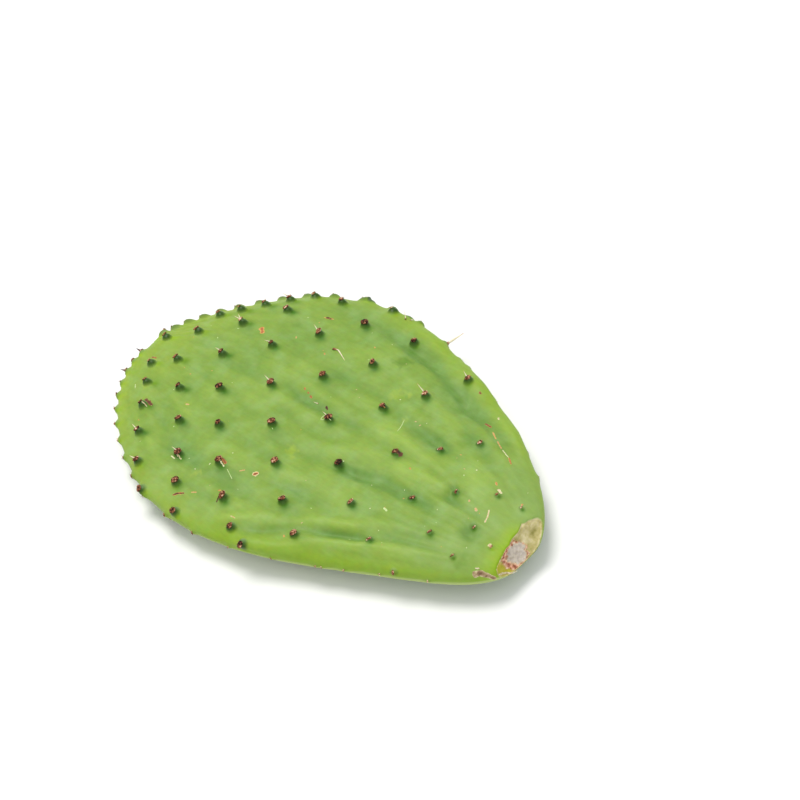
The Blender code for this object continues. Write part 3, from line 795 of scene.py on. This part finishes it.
def waxy_cactus_skin(add, read):
    """Cactus epidermis: a thick wax that keeps it matte, over flesh that lets some light through. It is
    yellow-green on the folds' crests and the rim and blue-green in their valleys and on the tubercles, and
    the crests also carry painted light and the valleys painted shade. Each tubercle has painted shade on
    one side and a painted grey-blue sheen on the other, and a painted shadow beside it, deep green, that
    turns to a painted yellow-green glow towards the tip; the rolled flanks carry painted shade, and the
    underside of the left rim a painted pale line of light bounced from the floor. On the cut face dry
    flesh with an olive cast has a woody middle and a torn, corky ring around it."""
    # The folds' crests are given painted light, lighter and yellower, and their valleys painted shade,
    # darker and bluer, on top of the skin's own changing green.
    crest = add("MapRange", {"Value": read["crest"], "From Min": -2.0, "From Max": 2.0})
    cloud = add("Math", (read["cloud"], -0.5), operation="ADD")
    height = add("Math", (cloud, 0.8, crest), operation="MULTIPLY_ADD")
    green = add("ValToRGB", [height], stops=((0.20, "#6E9341"), (0.50, "#819F40"), (0.80, "#91AD4B")))
    dusty = add("MapRange", {"Value": read["dust"], "From Min": 0.45, "From Max": 0.68, "To Max": 0.34})
    yellowing = add("MapRange", {"Value": read["yellow"], "From Max": 0.5})
    # Deep green for the painted shadow beside the tubercles, the painted shade on the flanks and the
    # deeper green patches; it is yellower where the skin is yellowed.
    shade_and_green_colour = {FACTOR: yellowing, COLOUR_A: "#44760E", COLOUR_B: "#90B01C"}
    shade_and_green_colour = add("Mix", shade_and_green_colour, MIXED, data_type="RGBA")
    mottle = add("TexNoise", {"Vector": read["place"], "Scale": 1.0 / (2.4 * MM), "Detail": 3.0}, "Color")
    along = add("Mapping", {"Vector": read["place"], "Scale": (1.0, 0.16, 1.0)})
    fibre = {"Vector": along, "Scale": 1.0 / (1.7 * MM), "Detail": 4.0, "Roughness": 0.65}
    fibre = add("TexNoise", fibre, "Fac")
    fibre = add("ValToRGB", [fibre], stops=((0.32, "#646464"), (0.68, "#9C9C9C")))
    # The knobs' dark green, with painted shade on one side and a painted grey-blue sheen on the other.
    knob = ((0.0, "#34560A"), (0.35, "#29460D"), (0.62, "#3F6022"), (0.95, "#708C58"))
    knob = add("ValToRGB", [read["knob_tone"]], stops=knob)

    flesh = ((0.30, "#8C8648"), (0.46, "#B2A870"), (0.60, "#C8BD90"), (0.76, "#DAD2AC"))
    flesh = add("ValToRGB", [read["flesh"]], stops=flesh)
    torn = ((0.34, "#86503C"), (0.46, "#C08468"), (0.58, "#E2B69A"), (0.70, "#EFE0C4"))
    for over, lumps, stops in (
        ("low_flesh", "flesh", ((0.3, "#A8A328"), (0.7, "#C6C04C"))),
        ("torn_ring", "cork", torn),
        ("pith", "wood", ((0.3, "#A89C8E"), (0.6, "#C8BEB0"))),
        ("cut_edge", "edge", ((0.35, "#A8945C"), (0.6, "#E4D8B0"))),
    ):
        coat = add("ValToRGB", [read[lumps]], stops=stops)
        flesh = {FACTOR: read[over], COLOUR_A: flesh, COLOUR_B: coat}
        flesh = add("Mix", flesh, MIXED, data_type="RGBA")

    for share, coat, blend in (
        (read["yellow"], "#98AE3C", "MIX"),
        (dusty, "#94B472", "MIX"),
        (read["fresh"], shade_and_green_colour, "MIX"),
        (0.16, mottle, "SOFT_LIGHT"),
        (0.35, fibre, "SOFT_LIGHT"),
        (read["knob"], knob, "MIX"),
        (read["bloom"], "#8FA866", "MIX"),
        (read["rim_line"], "#A8B872", "MIX"),
        (read["cut_face"], flesh, "MIX"),
    ):
        green = {FACTOR: share, COLOUR_A: green, COLOUR_B: coat}
        green = add("Mix", green, MIXED, data_type="RGBA", blend_type=blend)
    rough = add("MapRange", {"Value": read["knob"], "To Min": 0.50, "To Max": 0.36})
    return {
        "Base Color": green,
        "Roughness": add("MapRange", {"Value": read["cut_face"], "To Min": rough, "To Max": 0.85}),
        "Normal": add("Bump", {"Height": read["pores"], "Strength": 0.15, "Distance": 0.2 * MM}),
        "IOR": 1.42,
        "Specular IOR Level": 0.28,
        "Subsurface Weight": 0.15,
        "Subsurface Radius": (0.8, 1.0, 0.2),
        "Subsurface Scale": 0.002,
    }


def areole_felt(add, read):
    """Matted wool of an areole: red-brown, with paler tips and dark gaps."""
    share = add("Math", (read["patch"], 0.6, read["clump"]), operation="MULTIPLY_ADD")
    share = add("Math", (share, 0.32), operation="SUBTRACT")
    share = add("Math", (read["pale"], 0.25, share), operation="MULTIPLY_ADD")
    stops = ((0.36, "#24160F"), (0.47, "#5C3422"), (0.57, "#8A5439"), (0.66, "#B98562"), (0.76, "#EBD0B6"))
    colour = add("ValToRGB", [share], stops=stops)
    return {"Base Color": colour, "Roughness": 0.9, "Specular IOR Level": 0.2}


def glochid_bristle(add, read):
    """Glochids: hair-thin barbed bristles, straw-coloured to red-brown."""
    colour = add("ValToRGB", [read["tuft"]], stops=((0.40, "#8E5238"), (0.60, "#D9B68C")))
    return {"Base Color": colour, "Roughness": 0.45}


def bone_white_spine(add, read):
    """Hard cactus spine: bone-white along its length, brown at the foot and amber at the point."""
    stops = ((0.0, "#7A4226"), (0.09, "#B07850"), (0.17, "#EDE4C8"), (0.80, "#E9DCB4"), (1.0, "#C07C2C"))
    bone = add("ValToRGB", [read["along"]], stops=stops)
    stain = add("ValToRGB", [read["stain"]], stops=((0.3, "#A98C60"), (0.7, "#FFFFFF")))
    colour = {FACTOR: 0.25, COLOUR_A: bone, COLOUR_B: stain}
    colour = add("Mix", colour, MIXED, data_type="RGBA", blend_type="MULTIPLY")
    return {"Base Color": colour, "Roughness": 0.42}


def withered_leaf(add, read):
    """A leaf tip that has dried out: brown, darker towards its point, with dull papery ridges."""
    share = add("Math", (read["along"], -0.5, read["ridge"]), operation="MULTIPLY_ADD")
    colour = add("ValToRGB", [share], stops=((0.0, "#2B1512"), (0.3, "#5B352C"), (0.6, "#8E6250")))
    return {"Base Color": colour, "Roughness": 0.75}


def corky_scab(add, read):
    """Healed wounds: cork from dark brown over orange and tan to cream, as each mark's tone says."""
    share = add("Math", (read["crumb"], -0.5), operation="ADD")
    share = add("Math", (share, 0.35, read["tone"]), operation="MULTIPLY_ADD")
    stops = (
        (0.0, "#2A1A0A"), (0.18, "#6E4028"), (0.34, "#B06A3C"), (0.46, "#CC9C50"), (0.62, "#C4A87C"),
        (0.80, "#E2DFB4"), (1.0, "#B2CB84"),
    )
    return {"Base Color": add("ValToRGB", [share], stops=stops), "Roughness": 0.8}


def papery_dry_skin(add, read):
    """Skin that has dried and lifted at the cut: thin, grey-white and papery, stained brown."""
    share = add("Math", (read["tone"], 0.45, read["stain"]), operation="MULTIPLY_ADD")
    stops = ((0.42, "#65492F"), (0.60, "#8F7452"), (0.84, "#C4B48C"), (1.0, "#E2DCC4"))
    return {"Base Color": add("ValToRGB", [share], stops=stops), "Roughness": 0.7}


def white_paper(*_):
    """Matte, uncoated white paper under the pad."""
    return {"Base Color": "#EFEFEF", "Roughness": 0.9}


# --- Small pieces ---
def settle(obj, finish, node=None):
    """Moves a piece's mesh to the part's frame, keeps it in the part's box, and gives it its body and
    material."""
    places = np.clip(coordinates(obj.data) + np.array(LAYOUT_PLACE), *np.array(cad_box))
    obj.data.vertices.foreach_set("co", places.ravel())
    obj.data.update()
    obj.data.materials.clear()
    obj.data.materials.append(finish)
    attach(obj, "root")
    if node:
        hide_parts(node)


def joined_copies(name, model, matrices):
    """One object that holds a copy of a model's mesh for each matrix, in place of the model."""
    points = coordinates(model.data)
    corners = [tuple(face.vertices) for face in model.data.polygons]
    all_points, all_faces = [], []
    for number, matrix in enumerate(matrices):
        turn = np.array(matrix.to_3x3())
        all_points.append(points @ turn.T + np.array(matrix.translation))
        first = number * len(points)
        all_faces.extend(tuple(first + corner for corner in face) for face in corners)
    bpy.data.objects.remove(model)
    mesh = bpy.data.meshes.new(name)
    mesh.from_pydata(np.concatenate(all_points).tolist(), [], all_faces)
    mesh.shade_smooth()
    obj = bpy.data.objects.new(name, mesh)
    bpy.context.scene.collection.objects.link(obj)
    return obj


def tree_of(obj):
    mesh = obj.data
    return BVHTree.FromPolygons([v.co for v in mesh.vertices], [tuple(p.vertices) for p in mesh.polygons])


def seats_on(skin_tree, areoles):
    """Where each areole's cushion sits on the finished skin, in turn: (point, axes, size)."""
    for centre, axes, size, shape in areoles:
        tipward, outward = axes[1], axes[2]
        turned = float(soft_step(outward.x, *FELT_LEAN_SIDE))
        tilted = float(max(soft_step(centre.y, *FELT_LEAN_Y), turned, 1.0 - size))
        if shape is RIM_TUBERCLE_MM:
            lean, felt_size = RIM_FELT_LEAN, math.sqrt(size) * RIM_FELT_SIZE
        else:
            lean = mixture(*FELT_LEAN, tilted) + FELT_TURNED_LEAN * turned
            felt_size = size * mixture(1.0, FELT_SIZE_TILTED, tilted)
        leaning = (outward + tipward * lean).normalized()
        knob_height, swell_height = shape[1] * size**KNOB_POWER, shape[2]
        middle = (swell_height + KNOB_MIDDLE[0] * knob_height) * MM * size
        inside = centre + outward * middle
        inside += tipward * KNOB_LEAN * KNOB_MIDDLE[1] * knob_height * MM * size
        point, facing, _, _ = skin_tree.ray_cast(inside + leaning * CAST_FROM, -leaning)
        leaning = (leaning + facing * FELT_HUG).normalized()
        across = tipward.cross(leaning).normalized()
        felt_size *= 1.0 - FELT_TURNED_LOSS * turned
        yield point, Matrix((across, leaning.cross(across), leaning)), felt_size


def make_cushions(region, seats, felt):
    chance = random.Random(region)
    noise.seed_set(FELT_SEED)
    bpy.ops.mesh.primitive_uv_sphere_add(segments=12, ring_count=7, radius=1.0)
    matrices = []
    for point, axes, size in seats:
        turn, width, height, narrowing, stretch = (chance.uniform(*span) for span in CUSHION_SPANS)
        wide = CUSHION_RADIUS_MM * MM * size**CUSHION_POWER * width
        high = CUSHION_HEIGHT_MM * MM * size * height
        shape = Matrix.Diagonal((wide * stretch, wide * narrowing * size, high))
        shape = axes.transposed() @ Matrix.Rotation(turn, 3, "Z") @ shape
        matrices.append(Matrix.Translation(point) @ shape.to_4x4())
    made = joined_copies(f"areole_felt_{region}", bpy.context.object, matrices)
    corners = len(made.data.vertices) // len(seats)
    for vertex in made.data.vertices:
        size = seats[vertex.index // corners][2]
        clumps = [noise.noise_vector(vertex.co / (lump * MM)) * high for lump, high in FELT_CLUMPS_MM]
        vertex.co += (clumps[0] + clumps[1]) * MM * size
    set_attribute(made.data, "pale", np.repeat([1.0 - seat[2] for seat in seats], corners))
    settle(made, felt)


def make_bristles(region, seats, bristle):
    chance = random.Random("bristles " + region)
    bpy.ops.mesh.primitive_cone_add(
        vertices=3, radius1=1.0, radius2=BRISTLE_POINT, depth=1.0, location=(0.0, 0.0, 0.5)
    )
    bpy.ops.object.transform_apply(location=True, rotation=True, scale=True)
    thick = BRISTLE_RADIUS_MM * MM
    matrices = []
    for point, axes, size in seats:
        for _ in range(round(BRISTLES_PER_AREOLE * size)):
            heading = chance.uniform(0.0, 2.0 * math.pi)
            side, tip = math.sin(heading), math.cos(heading)
            spread = chance.uniform(*BRISTLE_SPREAD) * CUSHION_RADIUS_MM * MM * size**CUSHION_POWER
            lean = chance.uniform(*BRISTLE_LEAN)
            direction = axes.transposed() @ Vector((side * lean, tip * lean, 1.0)).normalized()
            foot = axes.transposed() @ Vector((side * spread, tip * spread * BRISTLE_OVAL, 0.0))
            length = chance.uniform(*BRISTLE_MM) * MM * size**0.5
            turn = direction.to_track_quat("Z", "Y").to_matrix()
            scaled = turn @ Matrix.Diagonal((thick, thick, length))
            matrices.append(Matrix.Translation(point + foot) @ scaled.to_4x4())
    settle(joined_copies(f"bristle_tufts_{region}", bpy.context.object, matrices), bristle)


def make_needle(name, foot, tip, radius, bend, flatness=1.0, hook=0.0):
    """A tapering spike with a thick foot, bent by this share of its length, its point towards tip."""
    bpy.ops.object.select_all(action="DESELECT")
    bpy.ops.mesh.primitive_cone_add(
        vertices=NEEDLE_SIDES, radius1=1.0, radius2=NEEDLE_POINT_SHARE, depth=1.0, location=(0.0, 0.0, 0.5)
    )
    needle = bpy.context.object
    needle.name = name
    bpy.ops.object.transform_apply(location=True, rotation=True, scale=True)
    mesh = needle.data
    places = coordinates(mesh)
    sides = [abs(places[edge.vertices[0]][2] - places[edge.vertices[1]][2]) > 0.5 for edge in mesh.edges]
    select_faces(mesh, np.zeros(len(mesh.polygons), bool))
    mesh.edges.foreach_set("select", sides)
    bpy.ops.object.mode_set(mode="EDIT")
    bpy.ops.mesh.select_mode(type="EDGE")
    bpy.ops.mesh.subdivide(number_cuts=NEEDLE_RINGS)
    bpy.ops.object.mode_set(mode="OBJECT")
    places = coordinates(mesh)
    along = places[:, 2].copy()
    axis = tip - foot
    width = np.ones(len(along))
    for change, middle, reach in NEEDLE_CHANGES:
        width += change * np.exp(-(((along - middle) / reach) ** 2))
    width *= radius
    places[:, 0] = places[:, 0] * width + hook * np.clip(1.0 - along / HOOK_SHARE, 0.0, 1.0) ** 2
    places[:, 1] = places[:, 1] * width * flatness + bend * axis.length * along**2
    places[:, 2] *= axis.length
    turn = np.array(axis.to_track_quat("Z", "Y").to_matrix())
    mesh.vertices.foreach_set("co", (places @ turn.T + np.array(foot)).ravel())
    set_attribute(mesh, "along", along)
    mesh.shade_smooth()
    return needle


def thorn_ends(node):
    """Foot and tip, in the layout's coordinates, of a thorn that stands as its own solid in the part."""
    places = coordinates(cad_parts[node].data) - np.array(LAYOUT_PLACE)
    middle = places.mean(axis=0)
    axis = np.linalg.svd(places - middle, full_matrices=False)[2][0]
    along = (places - middle) @ axis
    ends = [places[along > THORN_END * along.max()], places[along < THORN_END * along.min()]]
    thick_last = sorted(ends, key=lambda end: np.linalg.norm(end - end.mean(axis=0), axis=1).max())
    tip, foot = (Vector((end.max(axis=0) + end.min(axis=0)) / 2.0) for end in thick_last)
    return foot, tip


def nodes_named(start):
    return sorted(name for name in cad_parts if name.startswith(start))


def make_spines(seats, bone):
    """Each spine stands on the felt nearest to its solid's foot."""
    chance = random.Random("spines")
    for node in [*nodes_named("spine_"), "rim_spine"]:
        foot, tip = thorn_ends(node)
        point, _, _ = min(seats, key=lambda seat: (seat[0] - foot).length)
        foot_now = point.lerp(foot, SPINE_FOOT_SHARE)
        reach = tip - foot
        extra = LONG_SPINE_EXTRA * (reach.length > LONG_SPINE) + RIM_SPINE_EXTRA * (node == "rim_spine")
        thick, bend = SPINE_RADIUS_MM * MM * (1.0 + extra), chance.uniform(*SPINE_BENDS)
        needle = make_needle(f"{node}_needle", foot_now, foot_now + reach, thick, bend)
        settle(needle, bone, node)
    for number, (foot, tip, radius) in enumerate(STUBS_MM, start=1):
        ends = (Vector(foot) * MM, Vector(tip) * MM)
        settle(make_needle(f"spine_stub_{number}", *ends, radius * MM, STUB_BEND), bone)


def make_loose_spine(skin_tree, bone):
    """A fallen spine that lies on the skin."""
    ends = zip(thorn_ends("loose_spine"), FALLEN_LIFTS_MM)
    foot, tip = (drop(skin_tree, end, UP) + UP * lift * MM for end, lift in ends)
    hook = FALLEN_HOOK_MM * MM
    needle = make_needle("loose_spine_needle", foot, tip, FALLEN_RADIUS_MM * MM, FALLEN_BEND, hook=hook)
    settle(needle, bone, "loose_spine")


def make_leaf_tips(skin_tree, leaf):
    """Withered leaves that still hang on the rim, curled like claws, each where its solid stands."""
    for node, bend in zip(nodes_named("leaf_tip"), LEAF_BENDS):
        foot, tip = thorn_ends(node)
        point = skin_tree.find_nearest(foot)[0]
        ends = (point, point + (tip - foot) * LEAF_REACH)
        curl = make_needle(f"{node}_curl", *ends, LEAF_RADIUS_MM * MM, bend, LEAF_FLATNESS)
        settle(curl, leaf, node)


# --- Marks on the skin ---
def drop(skin_tree, point, outward):
    """The point of the skin under a point, seen from outside."""
    found = skin_tree.ray_cast(Vector(point) + outward * DROP_FROM, -outward)[0]
    return found if found else Vector(point)


def lay_strip(
    skin_tree, path, half_width, height, tones, outward, chance, taper=0.0, ragged=0.9, outline=1.25
):
    """A ragged strip of cork that follows the skin along a path, sealed to it at its edge. taper is how
    much narrower it ends, ragged how uneven it is, outline how early it has its edge's tone."""
    bpy.ops.object.select_all(action="DESELECT")
    bpy.ops.mesh.primitive_grid_add(x_subdivisions=3 + 3 * len(path), y_subdivisions=5, size=2.0)
    strip = bpy.context.object
    lengths = np.concatenate(([0.0], np.cumsum([(b - a).length for a, b in zip(path, path[1:])])))
    total = lengths[-1] + 2.0 * half_width
    tone = []
    phase = chance.uniform(0.0, 100.0)
    for vertex in strip.data.vertices:
        v, gone = vertex.co.y, (vertex.co.x + 1.0) / 2.0
        walked = gone * total - half_width
        part = int(np.clip(np.searchsorted(lengths, walked) - 1, 0, len(path) - 2))
        start, end = path[part], path[part + 1]
        heading = (end - start).normalized()
        centre = start + heading * (walked - lengths[part])
        over = max(abs(walked - total / 2.0 + half_width) - lengths[-1] / 2.0, 0.0) / half_width
        wide = half_width * math.sqrt(max(1.0 - over * over, 0.0)) * (1.0 - taper * gone)
        wide *= 1.0 + ragged * noise.noise((walked / half_width, phase, v))
        sideways = outward.cross(heading).normalized()
        place = drop(skin_tree, centre + sideways * v * wide, outward)
        rim = max(abs(v), over)
        lift = height * (1.0 - rim**STRIP_FLATNESS) - STRIP_SINK_MM * MM
        lift += STRIP_CRUMBLE_MM * MM * noise.noise(place / (STRIP_CRUMB_MM * MM)) * (1.0 - rim)
        vertex.co = place + outward * lift
        tone.append(mixture(*tones, min(rim * outline, 1.0) ** 2))
    set_attribute(strip.data, "tone", tone)
    return strip


def settle_joined(name, pieces, finish):
    """Joins pieces of dry skin or cork into one object, and settles it."""
    bpy.ops.object.select_all(action="DESELECT")
    for piece in pieces:
        piece.select_set(True)
    bpy.context.view_layer.objects.active = pieces[0]
    bpy.ops.object.join()
    whole = bpy.context.object
    whole.name = name
    whole.data.transform(whole.matrix_world)
    whole.matrix_world = Matrix()
    whole.data.shade_smooth()
    settle(whole, finish)


def make_marks(skin_tree, cork):
    chance = random.Random("marks")
    strips = []
    for flat, half_width, *tones in MARKS_MM:
        path = [Vector((x, y, MARK_Z_MM)) * MM for x, y in zip(flat[::2], flat[1::2])]
        strips.append(lay_strip(skin_tree, path, half_width * MM, MARK_LIFT_MM * MM, tones, UP, chance))
    for _ in range(FLECKS):
        share = chance.uniform(*FLECK_SHARES)
        side = chance.uniform(*FLECK_SIDES)
        width = float(half_widths(share, side > 0.0))
        start = Vector((AXIS_X + side * width, BASE_END_Y + LENGTH * share, MARK_Z_MM * MM))
        heading = chance.uniform(0.0, 2.0 * math.pi)
        half_width = chance.uniform(*FLECK_MM) * MM
        reach = half_width * chance.uniform(*FLECK_LENGTHS)
        end = start + Vector((math.cos(heading), math.sin(heading), 0.0)) * reach
        tones = (chance.choice(FLECK_TONES),) * 2
        fleck = lay_strip(skin_tree, [start, end], half_width, FLECK_LIFT_MM * MM, tones, UP, chance)
        strips.append(fleck)
    settle_joined("skin_scabs", strips, cork)


def make_torn_skin(skin_tree, paper):
    """The torn crescent beside the cut and the strips of skin that peel off its edge."""
    chance = random.Random("torn")
    strips = [("torn_crescent", TEAR_MM, TEAR_HALF_MM, TEAR_LIFT_MM, (0.0, 1.0), TEAR_SHAPE)]
    for number, (points, half_width) in enumerate(PEELS_MM, start=1):
        strips.append((f"skin_peel_{number}", points, half_width, PEEL_LIFT_MM, PEEL_TONES, {}))
    for name, points, half_width, lift, tones, shape in strips:
        path = [Vector(point) * MM for point in points]
        sizes = (half_width * MM, lift * MM)
        strip = lay_strip(skin_tree, path, *sizes, tones, TEAR_OUTWARD, chance, **shape)
        settle_joined(name, [strip], paper)


# --- Stage ---
def make_camera():
    data = bpy.data.cameras.new("camera")
    data.lens, data.sensor_width = CAMERA_LENS_MM, CAMERA_SENSOR_MM
    data.clip_start, data.clip_end = CAMERA_CLIP
    camera = bpy.data.objects.new("camera", data)
    bpy.context.scene.collection.objects.link(camera)
    side, front = math.cos(CAMERA_AZIMUTH), math.sin(CAMERA_AZIMUTH)
    flat = math.cos(CAMERA_ELEVATION)
    back = Vector((front * flat, -side * flat, math.sin(CAMERA_ELEVATION)))
    level = Vector((side, front, 0.0))
    upright = back.cross(level)
    right = level * math.cos(CAMERA_ROLL) - upright * math.sin(CAMERA_ROLL)
    up = upright * math.cos(CAMERA_ROLL) + level * math.sin(CAMERA_ROLL)
    turn = Matrix((right, up, back)).transposed().to_4x4()
    camera.matrix_world = Matrix.Translation(CAMERA_AIM + back * CAMERA_DISTANCE) @ turn
    bpy.context.scene.camera = camera


def make_floor():
    bpy.ops.object.select_all(action="DESELECT")
    bpy.ops.mesh.primitive_plane_add(size=FLOOR_SIZE)
    floor = bpy.context.object
    floor.name = "floor"
    floor.data.materials.append(material(white_paper))


def make_lights():
    for name, (direction, size, power, colour) in LIGHTS.items():
        data = bpy.data.lights.new(name, "AREA")
        data.shape, data.size, data.energy, data.color = "DISK", size, power, colour
        light = bpy.data.objects.new(name, data)
        bpy.context.scene.collection.objects.link(light)
        towards = Vector(direction).normalized()
        light.location = towards * LIGHT_DISTANCE
        light.rotation_mode = "QUATERNION"
        light.rotation_quaternion = towards.to_track_quat("Z", "Y")
    world = bpy.data.worlds.new("white_room")
    world.use_nodes = True
    background = world.node_tree.nodes["Background"]
    fill(world.node_tree, background, {"Color": ROOM_COLOUR, "Strength": ROOM_STRENGTH})
    bpy.context.scene.world = world
    bpy.context.scene.view_settings.view_transform = "Standard"


def main():
    bpy.ops.object.select_all(action="DESELECT")
    make_camera()
    make_floor()
    make_lights()
    areoles = all_areoles()
    skin = make_skin(areoles)
    skin_tree = tree_of(skin)
    settle(skin, material(waxy_cactus_skin, SKIN_GRAINS, SKIN_LAYERS), "pad")
    felt = material(areole_felt, FELT_GRAINS, ["pale"])
    bristle = material(glochid_bristle, BRISTLE_GRAINS)
    bone = material(bone_white_spine, SPINE_GRAINS, ["along"])
    leaf = material(withered_leaf, LEAF_GRAINS, ["along"])
    cork = material(corky_scab, CORK_GRAINS, ["tone"])
    paper = material(papery_dry_skin, PAPER_GRAINS, ["tone"])
    all_seats = []
    for region, places in areoles.items():
        seats = list(seats_on(skin_tree, places))
        all_seats.extend(seats)
        bpy.ops.object.select_all(action="DESELECT")
        make_cushions(region, seats, felt)
        make_bristles(region, seats, bristle)
    make_spines(all_seats, bone)
    make_loose_spine(skin_tree, bone)
    make_leaf_tips(skin_tree, leaf)
    make_marks(skin_tree, cork)
    make_torn_skin(skin_tree, paper)


main()
